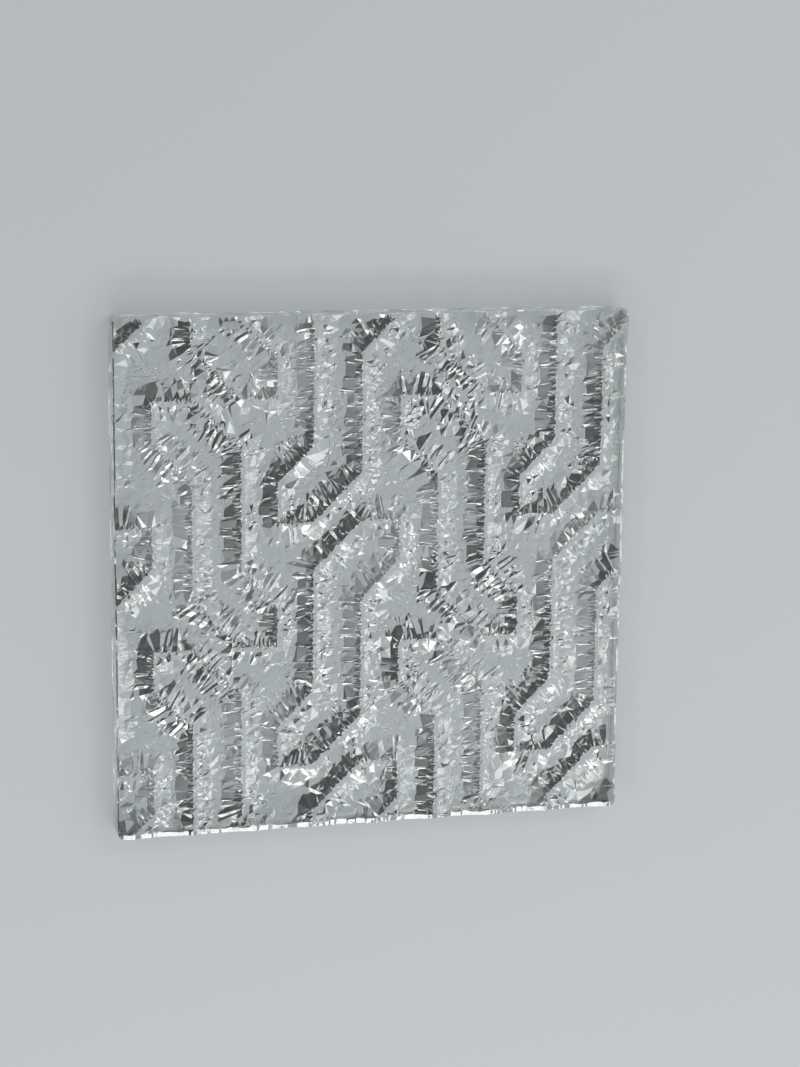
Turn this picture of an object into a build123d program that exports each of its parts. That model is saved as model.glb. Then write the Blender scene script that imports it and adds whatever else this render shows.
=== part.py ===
from build123d import *
import os

# Textured glass panel: a square plate of clear cast glass with ridges on its upper face.
# The panel lies flat on its smooth face. X runs to the right, Y away from the reader, Z up.
# The ridges follow a pattern of slanting rings that repeats across and down the panel.
# Every second column of rings is the mirror image of the first, moved down by half a repeat.
# All lengths are in millimetres.

# the plate
side = 150.0
thickness = 10.0
ridge_height = 1.7
corner_radius = 1.8
arris = 0.6

# one ridge in section: a low skirt on each side of a steep spine
skirt_half_width = 5.8
spine_half_width = 1.3
spine_foot_height = 0.75

# the pattern: widths between the upright runs of a ring, and lengths of the runs themselves
width_outer = 11.25
width_middle = 14.05
width_inner = 10.45
run_outer = 11.8
run_outer_long = 34.4
run_inner_long = 35.45

# where the first ring starts, measured from the middle of the panel
first_ring_x = -64.6
first_ring_y = 51.5

# sizes that follow from the ones above
face_height = thickness - ridge_height
ring_width = width_outer + width_middle + width_inner
repeat_x = 2 * ring_width
repeat_y = run_outer + width_outer + run_outer_long + width_middle


def ring_corners(start_x, start_y, hand):
    """Corners of one ring; hand is 1 for a ring that slants to the right, -1 for its mirror image."""
    outer_x = start_x + hand * width_outer
    inner_x = outer_x + hand * width_middle
    far_x = start_x + hand * ring_width
    end_y = start_y - repeat_y
    return [
        (start_x, start_y),
        (start_x, start_y - run_outer),
        (outer_x, start_y - run_outer - width_outer),
        (outer_x, end_y + width_middle),
        (inner_x, end_y),
        (far_x, end_y),
        (far_x, start_y - width_middle - run_inner_long - width_inner),
        (inner_x, start_y - width_middle - run_inner_long),
        (inner_x, start_y - width_middle),
        (outer_x, start_y),
    ]


def across(before, here, after):
    """Direction across the ridge at a corner, long enough to keep its width through the bend."""
    arriving = (Vector(*here) - Vector(*before)).normalized()
    leaving = (Vector(*after) - Vector(*here)).normalized()
    left = Vector(-arriving.Y - leaving.Y, arriving.X + leaving.X)
    return left / (1 + arriving.dot(leaving))


def ridge_section(here, direction):
    """The ridge cut across at one point."""
    foot = face_height - ridge_height
    profile = [
        (-skirt_half_width, foot),
        (-skirt_half_width, face_height),
        (-spine_half_width, face_height + spine_foot_height),
        (0, thickness),
        (spine_half_width, face_height + spine_foot_height),
        (skirt_half_width, face_height),
        (skirt_half_width, foot),
    ]
    points = [Vector(*here) + direction * reach + Vector(0, 0, level) for reach, level in profile]
    return Face(Wire.make_polygon(points, close=True))


def ring(corners):
    """Straight lengths of ridge, mitred at the corners, all round one ring."""
    count = len(corners)
    sections = []
    for i in range(count):
        direction = across(corners[i - 1], corners[i], corners[(i + 1) % count])
        sections.append(ridge_section(corners[i], direction))
    return [loft([sections[i - 1], sections[i]], ruled=True) for i in range(count)]


def reaches_panel(corners):
    """True when any part of the ring's outline lies over the panel."""
    limit = side / 2 + skirt_half_width
    xs = [x for x, y in corners]
    ys = [y for x, y in corners]
    return min(xs) < limit and max(xs) > -limit and min(ys) < limit and max(ys) > -limit


# enough repeats to cover the panel in every direction
reach = int(side / min(repeat_x, repeat_y)) + 1
lengths = []
for column in range(-reach, reach + 1):
    for row in range(-reach, reach + 1):
        x = first_ring_x + column * repeat_x
        y = first_ring_y + row * repeat_y
        slanting = ring_corners(x, y, 1)
        mirrored = ring_corners(x, y - repeat_y / 2, -1)
        for corners in (slanting, mirrored):
            if reaches_panel(corners):
                lengths.extend(ring(corners))

# a slab wider than the panel carries the ridges, and the panel's outline is cut out of both
reach_out = side + 4 * skirt_half_width
slab = extrude(Rectangle(reach_out, reach_out), face_height)
outline = extrude(RectangleRounded(side, side, corner_radius), thickness)
outline = chamfer(outline.faces().sort_by(Axis.Z)[0].edges(), arris)
glass_panel = ((slab + lengths) & outline).clean()

os.makedirs("parts", exist_ok=True)
export_step(glass_panel, "parts/glass_panel.step")
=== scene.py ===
"""Looks of the textured glass panel: crackled relief on the ridges, chipped rim, clear glass.

The relief is drawn in millimetres, in the frame of the solid panel and on the same ridges,
and is scaled to metres when its mesh is made.
"""

import math

import bpy
import numpy as np
from mathutils import Matrix, Vector, geometry


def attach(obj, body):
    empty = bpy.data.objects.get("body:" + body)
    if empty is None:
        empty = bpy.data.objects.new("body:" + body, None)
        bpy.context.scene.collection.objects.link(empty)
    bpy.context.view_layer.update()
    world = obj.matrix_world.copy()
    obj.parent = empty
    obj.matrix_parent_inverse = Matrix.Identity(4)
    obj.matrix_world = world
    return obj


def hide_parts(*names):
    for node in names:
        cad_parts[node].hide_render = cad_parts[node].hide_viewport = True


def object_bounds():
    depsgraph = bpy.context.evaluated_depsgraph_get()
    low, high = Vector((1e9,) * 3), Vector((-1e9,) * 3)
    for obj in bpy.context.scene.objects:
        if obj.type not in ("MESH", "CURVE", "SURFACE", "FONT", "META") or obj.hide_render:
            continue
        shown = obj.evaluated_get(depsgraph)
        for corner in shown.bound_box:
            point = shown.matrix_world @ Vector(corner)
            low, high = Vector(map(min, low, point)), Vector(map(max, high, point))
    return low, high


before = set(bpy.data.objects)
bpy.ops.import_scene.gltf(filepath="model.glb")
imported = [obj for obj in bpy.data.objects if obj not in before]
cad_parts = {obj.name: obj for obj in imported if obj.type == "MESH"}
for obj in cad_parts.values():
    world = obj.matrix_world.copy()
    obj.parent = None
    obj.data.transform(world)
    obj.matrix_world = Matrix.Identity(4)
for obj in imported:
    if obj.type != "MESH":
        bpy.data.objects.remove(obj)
cad_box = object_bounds()

MM = 0.001
SEED = 20
rng = np.random.default_rng(SEED)

# the panel
low_corner, high_corner = cad_box
SIDE = round(float(high_corner[0] - low_corner[0]) / MM, 3)
THICKNESS = round(float(high_corner[2] - low_corner[2]) / MM, 3)
RIDGE = 1.7
CORNER = 1.8
ARRIS = 0.6
HALF = SIDE / 2
FACE = THICKNESS - RIDGE

# one ridge in section: a low skirt on each side of a steep spine
SKIRT = 5.8
SPINE = 1.3
SPINE_FOOT = 0.75

# the pattern: widths between the upright runs of a ring, lengths of the runs, and the first ring
OUTER = 11.25
MIDDLE = 14.05
INNER = 10.45
RUN_OUTER = 11.8
RUN_OUTER_LONG = 34.4
RUN_INNER_LONG = 35.45
FIRST_X = -64.6
FIRST_Y = 51.5
RING_WIDTH = OUTER + MIDDLE + INNER
REPEAT_X = 2 * RING_WIDTH
REPEAT_Y = RUN_OUTER + OUTER + RUN_OUTER_LONG + MIDDLE
REPEATS = 3
REACH = HALF + SKIRT

# the crackle stays a little under the top of the solid
TOP_GAP = 0.02
CAP = THICKNESS - TOP_GAP

# the crackle keeps inside a plain rim, which is widest along the right and the bottom
RIM_LEFT = 0.9
RIM_RIGHT = 2.4
RIM_BOTTOM = 2.1
RIM_TOP = 1.3
BOX_MID = np.array([RIM_LEFT - RIM_RIGHT, RIM_BOTTOM - RIM_TOP]) / 2
BOX_HALF = HALF - np.array([RIM_LEFT + RIM_RIGHT, RIM_BOTTOM + RIM_TOP]) / 2


def unit(vector):
    """The vector made 1 long."""
    return vector / np.linalg.norm(vector)


def ring_corners(x, y, hand):
    """Corners of one slanting ring of the pattern; hand is -1 for its mirror image."""
    outer_x = x + hand * OUTER
    inner_x = outer_x + hand * MIDDLE
    far_x = x + hand * RING_WIDTH
    end_y = y - REPEAT_Y
    return [
        (x, y),
        (x, y - RUN_OUTER),
        (outer_x, y - RUN_OUTER - OUTER),
        (outer_x, end_y + MIDDLE),
        (inner_x, end_y),
        (far_x, end_y),
        (far_x, y - MIDDLE - RUN_INNER_LONG - INNER),
        (inner_x, y - MIDDLE - RUN_INNER_LONG),
        (inner_x, y - MIDDLE),
        (outer_x, y),
    ]


def rings_over_panel():
    """Corners of every ring of the pattern that reaches over the panel."""
    found = []
    for column in range(-REPEATS, REPEATS + 1):
        for row in range(-REPEATS, REPEATS + 1):
            x = FIRST_X + column * REPEAT_X
            y = FIRST_Y + row * REPEAT_Y
            for corners in (ring_corners(x, y, 1), ring_corners(x, y - REPEAT_Y / 2, -1)):
                ring = np.array(corners)
                if (ring.min(0) < REACH).all() and (ring.max(0) > -REACH).all():
                    found.append(ring)
    return found


# the straight lengths of ridge over the panel
rings = rings_over_panel()
starts = np.concatenate(rings)
ends = np.concatenate([np.roll(ring, -1, axis=0) for ring in rings])
over_panel = (np.minimum(starts, ends) < REACH).all(1) & (np.maximum(starts, ends) > -REACH).all(1)
ridge_start = starts[over_panel]
ridge_run = ends[over_panel] - ridge_start
ridge_square = (ridge_run**2).sum(1)
BATCH = 4000


def nearest(spots):
    """Distance from each spot to the nearest ridge, and which ridge it is."""
    spots = np.atleast_2d(spots)
    distance = np.empty(len(spots))
    which = np.empty(len(spots), int)
    for first in range(0, len(spots), BATCH):
        batch = slice(first, first + BATCH)
        offset = spots[batch, None, :] - ridge_start[None]
        share = np.clip((offset * ridge_run).sum(2) / ridge_square, 0, 1)
        offset = offset - share[..., None] * ridge_run
        square = offset[..., 0] ** 2 + offset[..., 1] ** 2
        which[batch] = square.argmin(1)
        distance[batch] = np.sqrt(square.min(1))
    return distance, which


def profile(distance, reach=SKIRT):
    """Height of a ridge over the field at a distance from its crest, with a skirt of that reach."""
    return np.interp(distance, [0, SPINE, reach], [RIDGE, SPINE_FOOT, 0.0])


def slope(low, high):
    """A random slope between two angles in degrees."""
    return math.tan(math.radians(rng.uniform(low, high)))


def across(which):
    """The angle square to a ridge."""
    return math.atan2(ridge_run[which, 0], -ridge_run[which, 1])


# the relief: its vertices, and the creases that its facets keep to
vertices = []
creases = []


def add(x, y, z):
    """Adds a vertex, kept under the top of the solid, and gives its number."""
    vertices.append((x, y, min(z, CAP)))
    return len(vertices) - 1


def chain(numbers):
    """A crease through a row of vertices."""
    creases.extend(zip(numbers[:-1], numbers[1:]))


def inside(spots, margin=0.0):
    """True where a spot lies inside the rim by more than the margin."""
    return (np.abs(spots - BOX_MID) < BOX_HALF - margin).all(-1)


# the crest line: spacing of its points, and how far from a bend the blades start to turn
CREST_FIRST = (0.1, 0.3)
CREST_STEP = (0.3, 0.55)
BEND_REACH = 3.5


def crest_points(number, ring):
    """Points along the crest of one ring: place, way along, ring number, distance to a bend."""
    found = []
    count = len(ring)
    for k in range(count):
        here = ring[k]
        there = ring[(k + 1) % count]
        length = np.linalg.norm(there - here)
        way = unit(there - here)
        way_before = unit(here - ring[k - 1])
        way_after = unit(ring[(k + 2) % count] - there)
        gone = rng.uniform(*CREST_FIRST)
        while gone < length:
            # near a bend the way turns towards the bisector
            before = max(0.0, 1 - gone / BEND_REACH) * 0.5
            after = max(0.0, 1 - (length - gone) / BEND_REACH) * 0.5
            turned = unit(way * (1 - before - after) + way_before * before + way_after * after)
            x, y = here + way * gone
            found.append((x, y, turned[0], turned[1], number, min(gone, length - gone)))
            gone += rng.uniform(*CREST_STEP)
    return found


crest = np.array([point for number, ring in enumerate(rings) for point in crest_points(number, ring)])
crest_xy = crest[:, :2]
along = crest[:, 2:4]
ring_of = crest[:, 4]
to_bend = crest[:, 5]
left = np.stack([-along[:, 1], along[:, 0]], 1)
keep = inside(crest_xy)
n_crest = len(crest)

# the crest is crumbled: it wanders, and has small nicks and a few larger ones
WANDER = 0.18
WANDER_LIMIT = 0.4
ROUGHNESS = 0.1
NICK_SHARE = 0.1
NICK_DEPTH = (0.25, 0.7)
wander = np.clip(rng.normal(0, WANDER, n_crest), -WANDER_LIMIT, WANDER_LIMIT)
nicked = rng.random(n_crest) < NICK_SHARE
nick = np.where(nicked, rng.uniform(*NICK_DEPTH, n_crest), 0)
crest_z = CAP - np.abs(rng.normal(0, ROUGHNESS, n_crest)) - nick
crest_id = -np.ones(n_crest, int)
for k in np.nonzero(keep)[0]:
    x, y = crest_xy[k] + wander[k] * left[k]
    crest_id[k] = add(x, y, crest_z[k])
for k in range(1, n_crest):
    if ring_of[k] == ring_of[k - 1] and crest_id[k] >= 0 and crest_id[k - 1] >= 0:
        creases.append((crest_id[k - 1], crest_id[k]))


def smooth_noise(width, count=n_crest):
    """Random values with a spread of 1, averaged over a number of neighbours."""
    raw = np.convolve(rng.normal(0, 1, count), np.ones(width), "same")
    return raw / raw.std()


# how a flank is measured: first reach, step, and the part of the reach that must be its own
MARCH_FIRST = 0.5
MARCH_STEP = 0.2
OWN_SHARE = 0.94
OWN_SLACK = 0.12


def march(ways, reach):
    """How far each crest point can reach along its way before another ridge is nearer."""
    best = np.zeros(n_crest)
    alive = keep.copy()
    for r in np.arange(MARCH_FIRST, reach + MARCH_STEP / 2, MARCH_STEP):
        spots = crest_xy + ways * r
        alive = alive & inside(spots)
        tried = np.nonzero(alive)[0]
        alive[tried] = nearest(spots[tried])[0] > r * OWN_SHARE - OWN_SLACK
        best[alive] = r
    return best


def flank_point(k, ways, r, z, aside=0.0):
    """Adds a vertex at distance r from crest point k, at height z over the field."""
    square = np.array([-ways[k][1], ways[k][0]])
    x, y = crest_xy[k] + ways[k] * r + square * aside
    return add(x, y, FACE + z)


# a crease has its middle at shares of its length and its foot, a last bend at a share of its
# length, and parts of its lift at the foot, the middle and the last bend
CREASE_MIDDLE = (0.45, 0.3)
CREASE_BEND = 0.8
CREASE_PARTS = (0.6, 1.0, 0.8)
# a blade has parts of its width at shares of its length
BLADE_SHAPE = ((0.35, 0.5), (0.75, 1.0))


def crease(k, ways, far, lift, foot):
    """A line down the flank from crest point k, raised or sunk by lift, most at its middle."""
    numbers = [crest_id[k]]
    middle = CREASE_MIDDLE[0] * far + CREASE_MIDDLE[1] * foot
    for r, part in zip((foot, middle, CREASE_BEND * far), CREASE_PARTS):
        numbers.append(flank_point(k, ways, r, profile(r, far) + lift * part))
    numbers.append(flank_point(k, ways, far, 0.0))
    chain(numbers)


def rib(k, ways, far, near, wide, rise):
    """A slender blade on the flank of crest point k, widest near its outer end."""
    high = wide * rise
    first = flank_point(k, ways, near, profile(near, far))
    last = flank_point(k, ways, far, 0.0)
    for hand in (-1, 0, 1):
        numbers = [first]
        for share, part in BLADE_SHAPE:
            r = near + (far - near) * share
            over = 0 if hand else high * part
            numbers.append(flank_point(k, ways, r, profile(r, far) + over, hand * wide * part))
        chain(numbers + [last])


def step_to(k, distance):
    """The first crest point at least this far along the ring, or -1 past its end."""
    m = k
    gone = 0.0
    while gone < distance:
        m += 1
        if m >= n_crest or ring_of[m] != ring_of[k] or crest_id[m] < 0:
            return -1
        gone += np.linalg.norm(crest_xy[m] - crest_xy[m - 1])
    return m


# a flank narrower than this has short feet only
NARROW = 3.2
FOOT_SHARE = (0.6, 1.9)
NARROW_FOOT_SHARE = (0.6, 1.2)


def flat_facet(k, m, ways, far):
    """A flat facet of flank between crest points k and m, with a jagged steep foot to the crest that the
    painted shade makes dark.
    """
    shares = FOOT_SHARE if far > NARROW else NARROW_FOOT_SHARE
    feet = []
    for i in range(k, m + 1):
        r = rng.uniform(*shares) * SPINE
        feet.append(flank_point(i, ways, r, SPINE_FOOT * (far - r) / (far - SPINE)))
        creases.append((crest_id[i], feet[-1]))
    chain(feet)
    outer = [flank_point(i, ways, far, 0.0) for i in (k, m)]
    chain([feet[0], outer[0]])
    chain([feet[-1], outer[1]])
    chain(outer)


# fans: widths of fine and wide blades and how they mix, their slope, and their lengths and feet
FAN_FINE = (0.3, 0.55)
FAN_WIDE = (0.55, 1.15)
FAN_MIX = (0.45, 0.55)
FAN_SLOPE = (12, 25)
FAN_RAISED_LENGTH = (0.7, 1.0)
FAN_SUNK_LENGTH = (0.55, 0.95)
FAN_FOOT = (0.6, 1.8)
FAN_LEAST = 0.6
RIGHT_LIFT = 0.75


def fan_blade(k, ways, longest, way, faces_left):
    """One blade of a fan, dark by painted shade or bright where it catches a lamp; gives the crest point of
    the next blade.
    """
    gap = rng.choice([rng.uniform(*FAN_FINE), rng.uniform(*FAN_WIDE)], p=FAN_MIX)
    lift = way * gap * slope(*FAN_SLOPE) * 0.5
    if not faces_left:
        lift *= RIGHT_LIFT
    share = rng.uniform(*(FAN_RAISED_LENGTH if way > 0 else FAN_SUNK_LENGTH))
    foot = rng.uniform(*FAN_FOOT) * SPINE
    crease(k, ways, max(longest * share, foot + FAN_LEAST), lift, foot)
    return step_to(k, gap)


# dark stretches, dark by painted shade: widths of narrow and wide facets and how they mix, and their length
DARK_NARROW = (0.5, 1.2)
DARK_WIDE = (1.3, 3.6)
DARK_MIX = (0.3, 0.7)
DARK_LENGTH = (0.72, 1.0)
DARK_LEAST = 2.2
# the blade after a dark facet: how often, how far on, its slope, whether sunk or raised, its size
BLADE_SHARE = 0.85
BLADE_BEFORE = (0.2, 0.5)
BLADE_AFTER = (0.3, 0.5)
BLADE_SLOPE = (14, 24)
BLADE_MIX = (0.25, 0.75)
BLADE_LENGTH = (0.75, 1.0)
BLADE_WIDTH = (0.24, 0.5)
BLADE_START = 0.5
# a flank needs the first reach for facets, and the second for a blade
FACET_REACH = 1.9
BLADE_REACH = 2.5


def dark_stretch(k, ways, best, upright):
    """A flat facet, dark by painted shade, then a slender bright blade; gives the crest point after them."""
    m = step_to(k, rng.choice([rng.uniform(*DARK_NARROW), rng.uniform(*DARK_WIDE)], p=DARK_MIX))
    if m > 0 and best[k : m + 1].min() > FACET_REACH and upright[m]:
        shortest = best[k : m + 1].min()
        far = max(shortest * rng.uniform(*DARK_LENGTH), DARK_LEAST)
        flat_facet(k, m, ways, min(far, shortest))
        m = step_to(m, rng.uniform(*BLADE_BEFORE))
    if m > 0 and best[m] > BLADE_REACH and rng.random() < BLADE_SHARE:
        rise = slope(*BLADE_SLOPE) * rng.choice([-1, 1], p=BLADE_MIX)
        far = best[m] * rng.uniform(*BLADE_LENGTH)
        near = rng.uniform(BLADE_START, 0.45 * far)
        rib(m, ways, far, near, rng.uniform(*BLADE_WIDTH), rise)
        m = step_to(m, rng.uniform(*BLADE_AFTER))
    return m


# calm stretches: their spacing, the short streaks, the gentle waves, and the foot of the spine
CALM_GAP = (0.9, 2.6)
STREAK_SHARE = 0.4
STREAK_SLOPE = (13, 23)
STREAK_START = 0.4
STREAK_LENGTH = (1.0, 3.2)
STREAK_WIDTH = (0.15, 0.3)
WAVE_LENGTH = (0.85, 1.0)
WAVE_LIFT = (0.0, 0.05)
FOOT_SPREAD = 0.12
FOOT_SKIRT = 6.0


def calm_stretch(k, ways, reach, way):
    """A gentle wave or a short streak, then an even foot; gives the crest point after them."""
    gap = rng.uniform(*CALM_GAP)
    if rng.random() < STREAK_SHARE:
        rise = slope(*STREAK_SLOPE) * rng.choice([-1, 1])
        near = rng.uniform(STREAK_START, 0.5 * reach)
        far = min(reach, near + rng.uniform(*STREAK_LENGTH))
        rib(k, ways, far, near, rng.uniform(*STREAK_WIDTH), rise)
    else:
        crease(k, ways, reach * rng.uniform(*WAVE_LENGTH), way * rng.uniform(*WAVE_LIFT), SPINE)
    m = step_to(k, gap)
    if m > 0:
        feet = zip(range(k + 1, m), rng.normal(SPINE, FOOT_SPREAD, m))
        chain([flank_point(i, ways, r, profile(r, FOOT_SKIRT)) for i, r in feet])
    return m


# which way a flank faces, from the parts of its outward way to the right and up
FACES_LEFT = 0.1
UPRIGHT = 0.25
# the blades lean in runs of crest points, and each jitters a little
LEAN_RUN = 25
LEAN_UPRIGHT = 0.18
LEAN_SLANTING = 0.3
JITTER_RUN = 3
JITTER = 0.05
# how far fans and other facets may reach, where fans lie, and how often they break a calm flank
FAN_REACH = 9.0
OTHER_REACH = 6.3
FAN_TO_BEND = 2.5
BUSY_RUN = 21
BUSY = 0.9


def flank(hand):
    """Facets that run down one flank of every ridge, about square to its crest."""
    out = hand * left
    faces_left = out[:, 0] < FACES_LEFT
    upright = np.abs(out[:, 1]) < UPRIGHT
    lean = smooth_noise(LEAN_RUN) * np.where(upright, LEAN_UPRIGHT, LEAN_SLANTING)
    lean = lean + smooth_noise(JITTER_RUN) * JITTER
    cos, sin = np.cos(lean), np.sin(lean)
    ways = np.stack([out[:, 0] * cos - out[:, 1] * sin, out[:, 0] * sin + out[:, 1] * cos], 1)
    longest = march(ways, FAN_REACH)
    best = np.minimum(longest, OTHER_REACH)
    busy = smooth_noise(BUSY_RUN)
    way = 1
    k = 0
    while k < n_crest:
        if crest_id[k] < 0 or best[k] < FACET_REACH:
            k += 1
            continue
        in_fan = not upright[k] or to_bend[k] < FAN_TO_BEND
        if in_fan or (not faces_left[k] and busy[k] > BUSY):
            way = -way
            m = fan_blade(k, ways, longest[k], way, faces_left[k])
        elif faces_left[k]:
            m = dark_stretch(k, ways, best, upright)
        else:
            way = -way
            m = calm_stretch(k, ways, best[k], way)
        k = m if m > k else k + 1


flank(1)
flank(-1)

# crumbs along the crests, more and rougher ones on the side that faces left
CRUMBS_LEFT = 0.7
CRUMBS_RIGHT = 0.4
CRUMB_OFF = (0.25, 0.75)
CRUMB_ALONG = 0.12
CRUMB_ROUGH_LEFT = 0.16
CRUMB_ROUGH_RIGHT = 0.1
for k in np.nonzero(keep)[0]:
    for hand in (1, -1):
        coarse = hand * left[k, 0] < FACES_LEFT
        if rng.random() > (CRUMBS_LEFT if coarse else CRUMBS_RIGHT):
            continue
        off = rng.uniform(*CRUMB_OFF)
        x, y = crest_xy[k] + hand * off * left[k] + rng.uniform(-CRUMB_ALONG, CRUMB_ALONG) * along[k]
        if inside((x, y)):
            rough = CRUMB_ROUGH_LEFT if coarse else CRUMB_ROUGH_RIGHT
            add(x, y, FACE + profile(off) + rng.normal(0, rough))

# the calm field between the flanks: a grid of cells keeps what is added there apart
CELL = 2.0
FIELD_SKIRT = 5.6
FLANK_EDGE = 4.6
SMOOTH_FLANK_EDGE = 1.9
# an upright ridge runs no further sideways than this
UPRIGHT_RUN = 0.1
taken = {}


def note(numbers):
    """Enters vertices in the grid."""
    for k in numbers:
        x, y, _ = vertices[k]
        taken.setdefault((int(x // CELL), int(y // CELL)), []).append((x, y))


def crowded(x, y, r):
    """True where a noted vertex is nearer than r."""
    column, row = int(x // CELL), int(y // CELL)
    for i in (-1, 0, 1):
        for j in (-1, 0, 1):
            for other_x, other_y in taken.get((column + i, row + j), ()):
                if (other_x - x) ** 2 + (other_y - y) ** 2 < r * r:
                    return True
    return False


def open_ground(x, distance, which):
    """True off the flanks, and on the smooth side of an upright ridge."""
    upright = abs(ridge_run[which, 0]) < UPRIGHT_RUN
    smooth_side = upright and x > ridge_start[which, 0]
    return distance > (SMOOTH_FLANK_EDGE if smooth_side else FLANK_EDGE)


# the ends of a chip's back, and the bends of a whisker, as shares of the half length
CHIP_BACK = (-0.4, 0.4)
WHISKER_BENDS = (-1, -0.3, 0.4, 1)
WHISKER_PARTS = np.array([0, 1, 0.8, 0])


def chip(x, y, turn, long, wide, rise):
    """A slender chip: a low blade with a sharp back."""
    ux, uy = math.cos(turn), math.sin(turn)
    base = FACE + profile(nearest((x, y))[0][0], FIELD_SKIRT)
    high = base + wide * rise
    tips = [add(x + ux * long * s, y + uy * long * s, base) for s in (-1, 1)]
    sides = [add(x - uy * wide * s, y + ux * wide * s, base) for s in (-1, 1)]
    back = [add(x + ux * long * s, y + uy * long * s, high) for s in CHIP_BACK]
    chain([tips[0], sides[0], tips[1], sides[1], tips[0]])
    chain([tips[0], back[0], back[1], tips[1]])
    note(tips + sides + back)


def whisker(x, y, turn, long, lift):
    """A faint crease across the calm field."""
    ux, uy = math.cos(turn), math.sin(turn)
    line = np.array([(x + ux * long * s, y + uy * long * s) for s in WHISKER_BENDS])
    heights = FACE + profile(nearest(line)[0], FIELD_SKIRT) + lift * WHISKER_PARTS
    numbers = [add(px, py, z) for (px, py), z in zip(line, heights)]
    chain(numbers)
    note(numbers)


def scatter(count, margin):
    """Random spots over the panel, inside the rim by the margin."""
    return BOX_MID + rng.uniform(-1, 1, (count, 2)) * (BOX_HALF - margin)


def random_chip(x, y, turn, turn_spread, slopes, lengths, widths):
    """A raised or sunk chip of random turn, slope, half length and half width."""
    rise = slope(*slopes) * rng.choice([-1, 1])
    turn = turn + rng.normal(0, turn_spread)
    chip(x, y, turn, rng.uniform(*lengths), rng.uniform(*widths), rise)


# loose bunches of chips, roughly square to the nearest ridge
BUNCHES = 420
BUNCH_MARGIN = 2
BUNCH_SPREAD = (1.0, 3.5)
BUNCH_TURN = 0.5
BUNCH_APART = 0.4
CHIPS_MARGIN = 1.5
FEWEST_CHIPS = 4
CHIPS_PER_SPREAD = 4
# the chips: spread of their turn, slopes in degrees, half lengths, half widths
BUNCH_CHIP = (0.2, (12, 24), (0.6, 1.8), (0.08, 0.2))
SINGLE_CHIP = (0.6, (14, 23), (0.4, 1.6), (0.08, 0.22))
note(range(len(vertices)))
bunches = scatter(BUNCHES, BUNCH_MARGIN)
spreads = rng.uniform(*BUNCH_SPREAD, BUNCHES)
for (middle_x, middle_y), spread, which in zip(bunches, spreads, nearest(bunches)[1]):
    bunch_turn = across(which) + rng.normal(0, BUNCH_TURN)
    for _ in range(int(FEWEST_CHIPS + spread * CHIPS_PER_SPREAD)):
        x = middle_x + rng.normal(0, spread)
        y = middle_y + rng.normal(0, spread)
        (distance,), (which,) = nearest((x, y))
        free = inside((x, y), CHIPS_MARGIN) and not crowded(x, y, BUNCH_APART)
        if free and open_ground(x, distance, which):
            random_chip(x, y, bunch_turn, *BUNCH_CHIP)

SINGLE_CHIPS = 1500
SINGLE_APART = 0.6
spots = scatter(SINGLE_CHIPS, CHIPS_MARGIN)
for (x, y), distance, which in zip(spots, *nearest(spots)):
    if open_ground(x, distance, which) and not crowded(x, y, SINGLE_APART):
        random_chip(x, y, across(which), *SINGLE_CHIP)

WHISKERS = 2600
WHISKER_MARGIN = 3
WHISKER_APART = 0.7
WHISKER_TURN = 0.5
WHISKER_LENGTH = (0.8, 2.6)
WHISKER_LIFT = (0.03, 0.09)
spots = scatter(WHISKERS, WHISKER_MARGIN)
for (x, y), distance, which in zip(spots, *nearest(spots)):
    if open_ground(x, distance, which) and not crowded(x, y, WHISKER_APART):
        turn = across(which) + rng.normal(0, WHISKER_TURN)
        length = rng.uniform(*WHISKER_LENGTH)
        whisker(x, y, turn, length, rng.uniform(*WHISKER_LIFT) * rng.choice([-1, 1]))

# calm points fill what is left, wide gaps on the flanks too
CALM_POINTS = 9000
CALM_APART = 1.6
CALM_APART_ON_FLANK = 1.9
CALM_ROUGHNESS = 0.045
FIELD_EDGE = 4.4
spots = scatter(CALM_POINTS, 0)
for (x, y), distance in zip(spots, nearest(spots)[0]):
    if not crowded(x, y, CALM_APART if distance > FIELD_EDGE else CALM_APART_ON_FLANK):
        note([add(x, y, FACE + profile(distance, FIELD_SKIRT) + rng.normal(0, CALM_ROUGHNESS))])

# the rim, walked round the panel from the lower end of its right side
RIM_STEP = 0.6
ARC_STEP = 15
STRAIGHT = HALF - CORNER


def rim_outline():
    """Points round the panel's outline, along the sides and round the corners."""
    count = int(2 * STRAIGHT / RIM_STEP)
    side = [(HALF, -STRAIGHT + 2 * STRAIGHT * k / count) for k in range(count)]
    angles = [math.radians(degrees) for degrees in range(0, 90, ARC_STEP)]
    arc = [(STRAIGHT + CORNER * math.cos(a), STRAIGHT + CORNER * math.sin(a)) for a in angles]
    outline = []
    for quarter in range(4):
        cos = math.cos(quarter * math.pi / 2)
        sin = math.sin(quarter * math.pi / 2)
        outline += [(cos * x - sin * y, sin * x + cos * y) for x, y in side + arc]
    return np.array(outline)


rim = rim_outline()
n_rim = len(rim)
rim_way = np.roll(rim, -1, axis=0) - np.roll(rim, 1, axis=0)
rim_way /= np.linalg.norm(rim_way, axis=1)[:, None]
outward = np.stack([rim_way[:, 1], -rim_way[:, 0]], 1)
downward = np.clip(-outward[:, 1], 0, 1) ** 2
upward = np.clip(outward[:, 1], 0, 1) ** 2
rightward = np.clip(outward[:, 0], 0, 1) ** 2


def round_rim(plain, bottom=0.0, right=0.0, top=0.0):
    """A value for each rim point: the plain one, and what is added along three of the sides."""
    return plain + bottom * downward + right * rightward + top * upward


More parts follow.
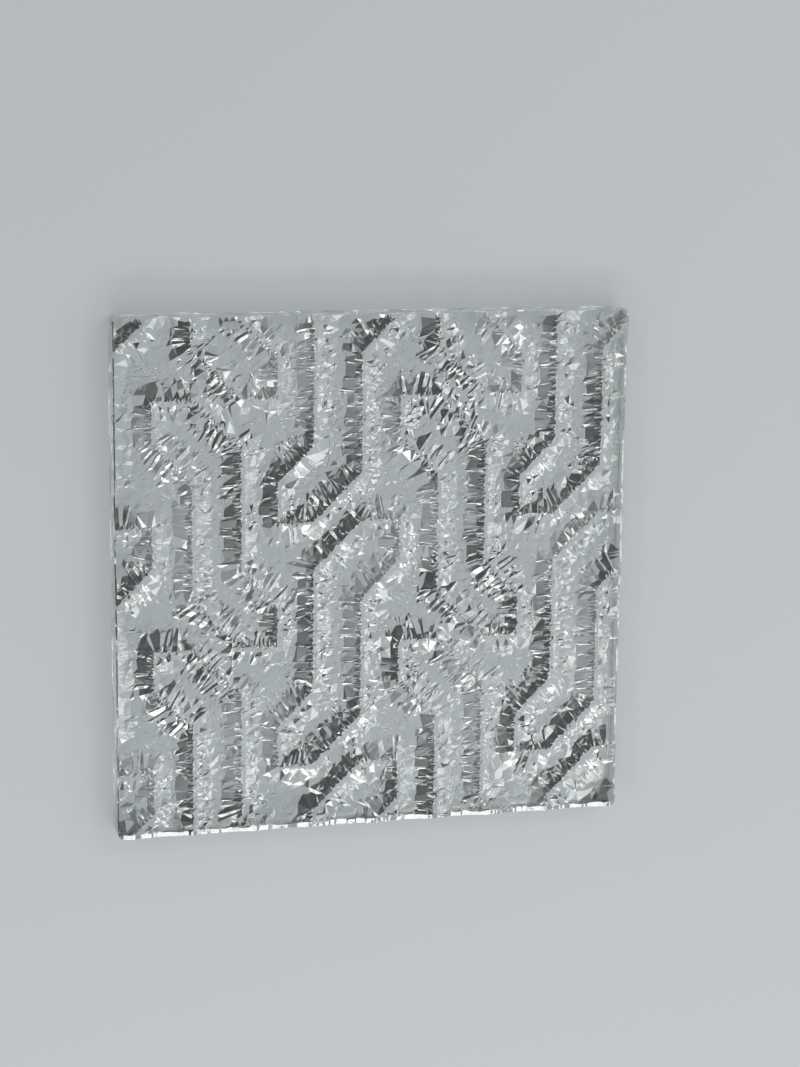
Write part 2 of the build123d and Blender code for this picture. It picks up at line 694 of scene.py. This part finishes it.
# the rim falls away over a narrow strip, with small chips
strip = round_rim(0.4, bottom=0.95, right=0.2)
strip += 0.15 * np.clip(smooth_noise(5, n_rim), -1.5, 1.2) * round_rim(0.3, bottom=1.0)
uneven = round_rim(4.0, bottom=-2.6, right=-2.0) * smooth_noise(7, n_rim)
fall = np.radians(round_rim(18.0, bottom=-4.0, top=11.0) + uneven)
chips = np.clip(np.abs(smooth_noise(5, n_rim)) - 1.2, 0, 1.2) * round_rim(0.4, bottom=-0.34)
# a low lip runs above the strip along the bottom, and slopes back to the field
lip = downward * np.clip(0.07 + 0.1 * smooth_noise(4, n_rim), 0, 0.22)
back = 0.08 + downward * np.clip(0.42 + 0.16 * smooth_noise(3, n_rim), 0.15, 0.8)
RUN_OUT = 0.55
RUN_OUT_POINTS = 13


def rim_height(line):
    """Height along the rim, where the ridges run out more gently at the bottom and the right."""
    sharp = profile(nearest(line)[0])
    margin = RUN_OUT_POINTS // 2
    wrapped = np.concatenate([sharp[-margin:], sharp, sharp[:margin]])
    gentle = np.convolve(wrapped, np.ones(RUN_OUT_POINTS) / RUN_OUT_POINTS, "valid")
    return FACE + sharp + RUN_OUT * (downward + rightward) * (gentle - sharp)


lip_line = rim - outward * strip[:, None]
lip_z = np.minimum(CAP, rim_height(lip_line) + lip)
rim_z = lip_z - strip * np.tan(fall) - chips
field_line = lip_line - outward * back[:, None]
first_rim = len(vertices)
for line, heights in ((rim, rim_z), (lip_line, lip_z), (field_line, rim_height(field_line))):
    first = len(vertices)
    for (x, y), z in zip(line, heights):
        add(x, y, z)
    creases.extend((first + k, first + (k + 1) % n_rim) for k in range(n_rim))


# how near two spots count as one, and the share of the corner radius that the flat arc keeps to
SAME_SPOT = 1e-6
ARC_SHARE = 0.985


def triangulate():
    """The relief as triangles that keep to its creases: vertices, triangles, and the rim's vertices."""
    spots = [Vector((x, y)) for x, y, z in vertices]
    meshed = geometry.delaunay_2d_cdt(spots, creases, [], 0, SAME_SPOT)
    made_xy, made_edges, triangles, sources, _, _ = meshed
    heights = [vertices[source[0]][2] if source else -1.0 for source in sources]
    made = np.array([(xy[0], xy[1], z) for xy, z in zip(made_xy, heights)])
    # where two creases cross, the height is that of the vertices around
    around = {int(k): [] for k in np.nonzero(made[:, 2] < 0)[0]}
    for pair in made_edges:
        for here, there in (pair, pair[::-1]):
            if here in around and made[there, 2] > 0:
                around[here].append(made[there, 2])
    for k, near in around.items():
        made[k, 2] = np.mean(near) if near else FACE + profile(nearest(made[k, :2])[0][0])
    place_of = {number: k for k, source in enumerate(sources) for number in source}
    return made, triangles, [place_of[first_rim + k] for k in range(n_rim)]


def past_corner(triangle):
    """True for a sliver between rim vertices that lies outside a rounded corner."""
    if not all(k in rim_set for k in triangle):
        return False
    over_x = abs(sum(relief[k][0] for k in triangle) / 3) - STRAIGHT
    over_y = abs(sum(relief[k][1] for k in triangle) / 3) - STRAIGHT
    return over_x > 0 and over_y > 0 and math.hypot(over_x, over_y) > CORNER * ARC_SHARE


relief, triangles, rim_row = triangulate()
rim_set = set(rim_row)
faces = [tuple(triangle) for triangle in triangles if not past_corner(triangle)]
n_relief = len(faces)

# the side faces, the arris round the lower edge, and the smooth lower face
arris_row = [len(relief) + k for k in range(n_rim)]
bed_row = [len(relief) + n_rim + k for k in range(n_rim)]
points = [tuple(point) for point in relief]
points += [(x, y, ARRIS) for x, y in rim]
points += [(x, y, 0.0) for x, y in rim - outward * ARRIS]
for k in range(n_rim):
    m = (k + 1) % n_rim
    faces.append((arris_row[k], arris_row[m], rim_row[m], rim_row[k]))
    faces.append((bed_row[k], bed_row[m], arris_row[m], arris_row[k]))
faces.append(tuple(reversed(bed_row)))

mesh = bpy.data.meshes.new("crackled_glass")
mesh.from_pydata([(x * MM, y * MM, z * MM) for x, y, z in points], [], faces)
mesh.polygons.foreach_set("material_index", [0] * n_relief + [1] * (2 * n_rim) + [0])
panel = bpy.data.objects.new("crackled_glass", mesh)
bpy.context.scene.collection.objects.link(panel)


def smooth(x, a, b):
    """0 up to a, 1 from b on, and a smooth step between."""
    t = np.clip((x - a) / (b - a), 0, 1)
    return t * t * (3 - 2 * t)


def face_values(name):
    """One vector of every face, such as its normal or its centre."""
    values = np.empty(len(mesh.polygons) * 3)
    mesh.polygons.foreach_get(name, values)
    return values.reshape(-1, 3)


# painted shade: facets that face left and up the panel are given darker glass, in two steps as they turn
# further, and a little paler glass as they turn the other way; each step has a depth, and what is added to it
# where the painted shade is bold
PAINTED_SHADE_WAY = (-0.8, 0.6)
PLAIN_SHADE = 0.88
PLAIN_TURN = (-0.12, 0.08)
FIRST_TURN = (0.1, 0.17)
FIRST_DEPTH = (0.22, 0.44)
SECOND_TURN = (0.2, 0.34)
SECOND_DEPTH = (0.28, 0.06)
# a share of the steep crumbs gets less painted shade, the plain rim is kept at least at the plain level, and
# the painted shade is bolder along some stretches of ridge than others
CRUMB_SHARE = 0.2
CRUMB_STEEP = (0.35, 0.5)
CRUMB_SHADE = 0.35
RIM_SHADE = 0.88
WAVES = 7
WAVE_RATE = (0.08, 0.2)
PAINTED_SHADE_BOLD_RANGE = (-2.4, 2.0)
normals = face_values("normal")
painted_shade_facing = normals[:, 0] * PAINTED_SHADE_WAY[0] + normals[:, 1] * PAINTED_SHADE_WAY[1]
steep = np.hypot(normals[:, 0], normals[:, 1])
crumb_with_less_shade = rng.random(len(normals)) < CRUMB_SHARE * smooth(steep, *CRUMB_STEEP)
middles = face_values("center")[:, :2] / MM
painted_shade_waves = [(rng.uniform(*WAVE_RATE), rng.uniform(0, math.pi), rng.uniform(0, 6)) for _ in range(WAVES)]
painted_shade_bold = sum(
    np.sin(rate * (middles[:, 0] * math.cos(angle) + middles[:, 1] * math.sin(angle)) + shift)
    for rate, angle, shift in painted_shade_waves
)
painted_shade_bold = smooth(painted_shade_bold, *PAINTED_SHADE_BOLD_RANGE)
first_painted_shade = (FIRST_DEPTH[0] + FIRST_DEPTH[1] * painted_shade_bold) * smooth(painted_shade_facing, *FIRST_TURN)
second_painted_shade = (SECOND_DEPTH[0] + SECOND_DEPTH[1] * painted_shade_bold) * smooth(painted_shade_facing, *SECOND_TURN)
shade = PLAIN_SHADE - np.clip(painted_shade_facing, *PLAIN_TURN)
shade -= first_painted_shade + second_painted_shade
shade = np.where(crumb_with_less_shade, shade + CRUMB_SHADE, shade)
rim_zone = (middles > BOX_MID + BOX_HALF).any(1)
shade = np.where(rim_zone, np.maximum(shade, RIM_SHADE), shade)
shade = np.where(np.arange(len(normals)) < n_relief, np.clip(shade, 0.0, 1.0), 1.0)
# painted shade: each face keeps its painted darkness of the glass
layer = mesh.attributes.new("painted_shade", "FLOAT", "FACE")
layer.data.foreach_set("value", shade**2)

# the way along and across the nearest ridge, for the fine ripples; each ridge has its own stretch
RIDGE_SHIFT = 7.3
corner_vertex = np.empty(len(mesh.loops), int)
mesh.loops.foreach_get("vertex_index", corner_vertex)
xy = np.array(points)[:, :2]
_, ridge = nearest(xy[np.array(faces[:n_relief])].mean(1))
n_plain = len(corner_vertex) - 3 * n_relief
ridge = np.concatenate([np.repeat(ridge, 3), np.zeros(n_plain, int)])
offset = xy[corner_vertex] - ridge_start[ridge]
way = ridge_run[ridge] / np.sqrt(ridge_square[ridge])[:, None]
down_ridge = (offset * way).sum(1)
off_ridge = offset[:, 1] * way[:, 0] - offset[:, 0] * way[:, 1]
flow = np.stack([down_ridge, off_ridge, ridge * RIDGE_SHIFT], 1)
layer = mesh.attributes.new("flow", "FLOAT_VECTOR", "CORNER")
layer.data.foreach_set("vector", flow.ravel())

# the ripples and their painted shade are weaker on the side of the crest that faces left, and fade towards
# the field
LEFT_SIDE = -0.1
LEFT_RIPPLE = 0.45
FIELD_FADE = 0.85
FADE_RANGE = (4.5, 7.5)
side_x = np.where(off_ridge > 0, -way[:, 1], way[:, 1])
ripple = np.where(side_x > LEFT_SIDE, 1.0, LEFT_RIPPLE)
ripple *= 1 - smooth(np.abs(off_ridge), *FADE_RANGE) * FIELD_FADE
ripple[3 * n_relief :] = 0
layer = mesh.attributes.new("ripple", "FLOAT", "CORNER")
layer.data.foreach_set("value", ripple)


def new_material(name):
    """A material with its node tree and its main shader."""
    material = bpy.data.materials.new(name)
    material.use_nodes = True
    return material, material.node_tree, material.node_tree.nodes["Principled BSDF"]


def node(tree, kind, values=None, **settings):
    """A new node, with its settings and the constant values of its sockets."""
    made = tree.nodes.new(kind)
    for key, value in settings.items():
        setattr(made, key, value)
    set_values(made, values or {})
    return made


def set_values(shader, values):
    """Sets the constant values of a node's sockets."""
    for socket, value in values.items():
        shader.inputs[socket].default_value = value


def combine(tree, operation, first, second):
    """The result of one step of arithmetic on two values."""
    made = node(tree, "ShaderNodeMath", operation=operation)
    tree.links.new(first, made.inputs[0])
    tree.links.new(second, made.inputs[1])
    return made.outputs[0]


def blend_to_output(tree, share, first, second):
    """The surface: the first shader, or the second where share is 1."""
    made = node(tree, "ShaderNodeMixShader")
    tree.links.new(share, made.inputs["Fac"])
    tree.links.new(first, made.inputs[1])
    tree.links.new(second, made.inputs[2])
    tree.links.new(made.outputs["Shader"], tree.nodes["Material Output"].inputs["Surface"])


def let_light_through(tree, shader, colour):
    """Light that falls through the glass to the floor keeps straight on, with that colour."""
    lets = node(tree, "ShaderNodeBsdfTransparent", {"Color": colour})
    path = node(tree, "ShaderNodeLightPath").outputs
    share = combine(tree, "MAXIMUM", path["Is Shadow Ray"], path["Is Diffuse Ray"])
    blend_to_output(tree, share, shader.outputs["BSDF"], lets.outputs["BSDF"])


GLASS_IOR = 1.52


def clear_glass():
    """Clear glass with fine ripples down the flanks, darker where the painted shade says so."""
    material, tree, shader = new_material("clear_glass")
    link = tree.links.new
    set_values(shader, {
        "Roughness": 0.02,
        "IOR": GLASS_IOR,
        "Transmission Weight": 1.0,
        "Coat Weight": 1.0,
        "Coat IOR": 1.7,
        "Coat Roughness": 0.03,
    })
    # streaks down the flanks, in patches, for the bump and for painted shade along the ripples
    stretch = node(tree, "ShaderNodeMapping", {"Scale": (1.1, 0.22, 1.0)})
    link(node(tree, "ShaderNodeAttribute", attribute_name="flow").outputs["Vector"], stretch.inputs["Vector"])
    streak_values = {"Scale": 1.0, "Detail": 3.0, "Roughness": 0.6, "Distortion": 0.4}
    streaks = node(tree, "ShaderNodeTexNoise", streak_values)
    link(stretch.outputs["Vector"], streaks.inputs["Vector"])
    patches = node(tree, "ShaderNodeTexNoise", {"Scale": 150.0, "Detail": 1.0})
    link(node(tree, "ShaderNodeTexCoord").outputs["Object"], patches.inputs["Vector"])
    patch = node(tree, "ShaderNodeMapRange", {"From Min": 0.46, "From Max": 0.62, "To Min": 0.3})
    link(patches.outputs["Fac"], patch.inputs["Value"])
    rippled = node(tree, "ShaderNodeAttribute", attribute_name="ripple").outputs["Fac"]
    ripple_depth_and_shade = combine(tree, "MULTIPLY", rippled, patch.outputs["Result"])
    bump = node(tree, "ShaderNodeBump", {"Strength": 1.0, "Distance": 0.00015})
    link(combine(tree, "MULTIPLY", streaks.outputs["Fac"], ripple_depth_and_shade), bump.inputs["Height"])
    link(bump.outputs["Normal"], shader.inputs["Normal"])
    link(bump.outputs["Normal"], shader.inputs["Coat Normal"])
    # the glass colour from the painted shade, a little greyer in the streaks as painted shade of the ripples
    painted_ripple_shade_values = {"From Min": 0.3, "From Max": 0.55, "To Min": 0.75, "To Max": 1.0}
    painted_ripple_shade = node(tree, "ShaderNodeMapRange", painted_ripple_shade_values)
    link(streaks.outputs["Fac"], painted_ripple_shade.inputs["Value"])
    ripple_shade_mix = node(tree, "ShaderNodeMix", {"A": 1.0}, data_type="FLOAT")
    link(ripple_depth_and_shade, ripple_shade_mix.inputs["Factor"])
    link(painted_ripple_shade.outputs["Result"], ripple_shade_mix.inputs["B"])
    painted_shade = node(tree, "ShaderNodeAttribute", attribute_name="painted_shade").outputs["Fac"]
    painted_dark_and_clear = {"A": (0.004, 0.0045, 0.0045, 1), "B": (0.955, 0.985, 0.975, 1)}
    painted_shade_ramp = node(tree, "ShaderNodeMix", painted_dark_and_clear, data_type="RGBA")
    link(combine(tree, "MULTIPLY", painted_shade, ripple_shade_mix.outputs["Result"]), painted_shade_ramp.inputs["Factor"])
    link(painted_shade_ramp.outputs["Result"], shader.inputs["Base Color"])
    let_light_through(tree, shader, (0.93, 0.945, 0.94, 1))
    return material


def seamed_edge():
    """The side faces and the arris: the same glass, finely ground."""
    material, tree, shader = new_material("seamed_edge")
    set_values(shader, {
        "Base Color": (0.72, 0.785, 0.765, 1),
        "Roughness": 0.18,
        "IOR": GLASS_IOR,
        "Transmission Weight": 0.8,
    })
    grain = node(tree, "ShaderNodeTexNoise", {"Scale": 900.0, "Detail": 3.0})
    tree.links.new(node(tree, "ShaderNodeTexCoord").outputs["Object"], grain.inputs["Vector"])
    bump = node(tree, "ShaderNodeBump", {"Strength": 0.3, "Distance": 0.00005})
    tree.links.new(grain.outputs["Fac"], bump.inputs["Height"])
    tree.links.new(bump.outputs["Normal"], shader.inputs["Normal"])
    let_light_through(tree, shader, (0.57, 0.61, 0.595, 1))
    return material


panel.data.materials.append(clear_glass())
panel.data.materials.append(seamed_edge())
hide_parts("glass_panel")
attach(panel, "root")

# the studio: a pale floor that turns into an even backdrop far from the panel
STUDIO = (0.95, 0.97, 1.0, 1)
STUDIO_LEVEL = 0.42
FLOOR_SIZE = 6
FLOOR_GAP = 0.0003


def pale_floor():
    """Pale floor near the panel, and the backdrop's even colour further off, where it is seen."""
    material, tree, shader = new_material("pale_floor")
    set_values(shader, {"Base Color": (0.5, 0.51, 0.52, 1), "Roughness": 0.6})
    far_off = node(tree, "ShaderNodeVectorMath", operation="LENGTH")
    tree.links.new(node(tree, "ShaderNodeTexCoord").outputs["Object"], far_off.inputs[0])
    turn_values = {"From Min": 0.3, "From Max": 1.1}
    turn = node(tree, "ShaderNodeMapRange", turn_values, interpolation_type="SMOOTHSTEP")
    tree.links.new(far_off.outputs["Value"], turn.inputs["Value"])
    path = node(tree, "ShaderNodeLightPath").outputs
    seen = combine(tree, "MAXIMUM", path["Is Camera Ray"], path["Is Glossy Ray"])
    seen = combine(tree, "MAXIMUM", seen, path["Is Transmission Ray"])
    share = combine(tree, "MULTIPLY", turn.outputs["Result"], seen)
    backdrop = node(tree, "ShaderNodeEmission", {"Color": STUDIO, "Strength": STUDIO_LEVEL})
    blend_to_output(tree, share, shader.outputs["BSDF"], backdrop.outputs["Emission"])
    return material


bpy.ops.mesh.primitive_plane_add(size=FLOOR_SIZE, location=(0, 0, -FLOOR_GAP))
floor = bpy.context.object
floor.name = "floor"
floor.data.materials.append(pale_floor())

world = bpy.data.worlds.new("studio")
bpy.context.scene.world = world
world.use_nodes = True
set_values(world.node_tree.nodes["Background"], {"Color": STUDIO, "Strength": STUDIO_LEVEL})


def lamp(name, at, size, watts, run=None):
    """A soft lamp that looks at the panel; run is the way its first side runs."""
    data = bpy.data.lights.new(name, "AREA")
    data.shape = "RECTANGLE"
    data.size, data.size_y = size
    data.energy = watts
    obj = bpy.data.objects.new(name, data)
    obj.location = at
    turned = (-Vector(at)).to_track_quat("-Z", "Y")
    if run:
        away = Vector(at).normalized()
        first_side = (Vector(run) - away * away.dot(Vector(run))).normalized()
        turned = Matrix((first_side, away.cross(first_side), away)).transposed()
    obj.rotation_euler = turned.to_euler()
    bpy.context.scene.collection.objects.link(obj)


lamp("low_bar", (0.0, -0.82, 0.74), (1.0, 0.27), 4.9)
lamp("high_bar", (0.48, 0.55, 0.87), (0.6, 0.2), 2.3)
lamp("right_bar", (0.93, -0.1, 0.66), (0.9, 0.2), 1.8)
lamp("left_bar", (-0.78, -0.23, 0.73), (0.6, 0.13), 1.6)
lamp("soft_bar", (0.53, -0.43, 0.98), (0.6, 0.2), 1.05, run=(0.38, 0.31, -0.08))
lamp("back_bar", (-0.58, 0.58, 0.38), (0.7, 0.08), 0.24, run=(1, 1, 0))

# the camera, at the photograph's view: the panel's turn and place before it, in radians and
# millimetres, with x to the right, y down and z ahead, and its focal length in pixels
VIEW_TURN = Vector((0.1976, -0.2556, -0.0143))
VIEW_PLACE = Vector((-9.4243, 9.6203, 704.98))
FOCAL_PIXELS = 2421.2
PHOTO_HEIGHT = 1067
SENSOR = 36
turned = Matrix.Rotation(VIEW_TURN.length, 3, VIEW_TURN.normalized()) @ Matrix.Diagonal((1, -1, -1))
centre = -(turned.transposed() @ VIEW_PLACE)
right, down, ahead = turned
cam_data = bpy.data.cameras.new("camera")
cam_data.sensor_width = SENSOR
cam_data.lens = FOCAL_PIXELS * SENSOR / PHOTO_HEIGHT
cam = bpy.data.objects.new("camera", cam_data)
bpy.context.scene.collection.objects.link(cam)
cam.matrix_world = Matrix.Translation(centre * MM) @ Matrix((right, -down, -ahead)).transposed().to_4x4()
bpy.context.scene.camera = cam
bpy.context.scene.view_settings.view_transform = "Standard"
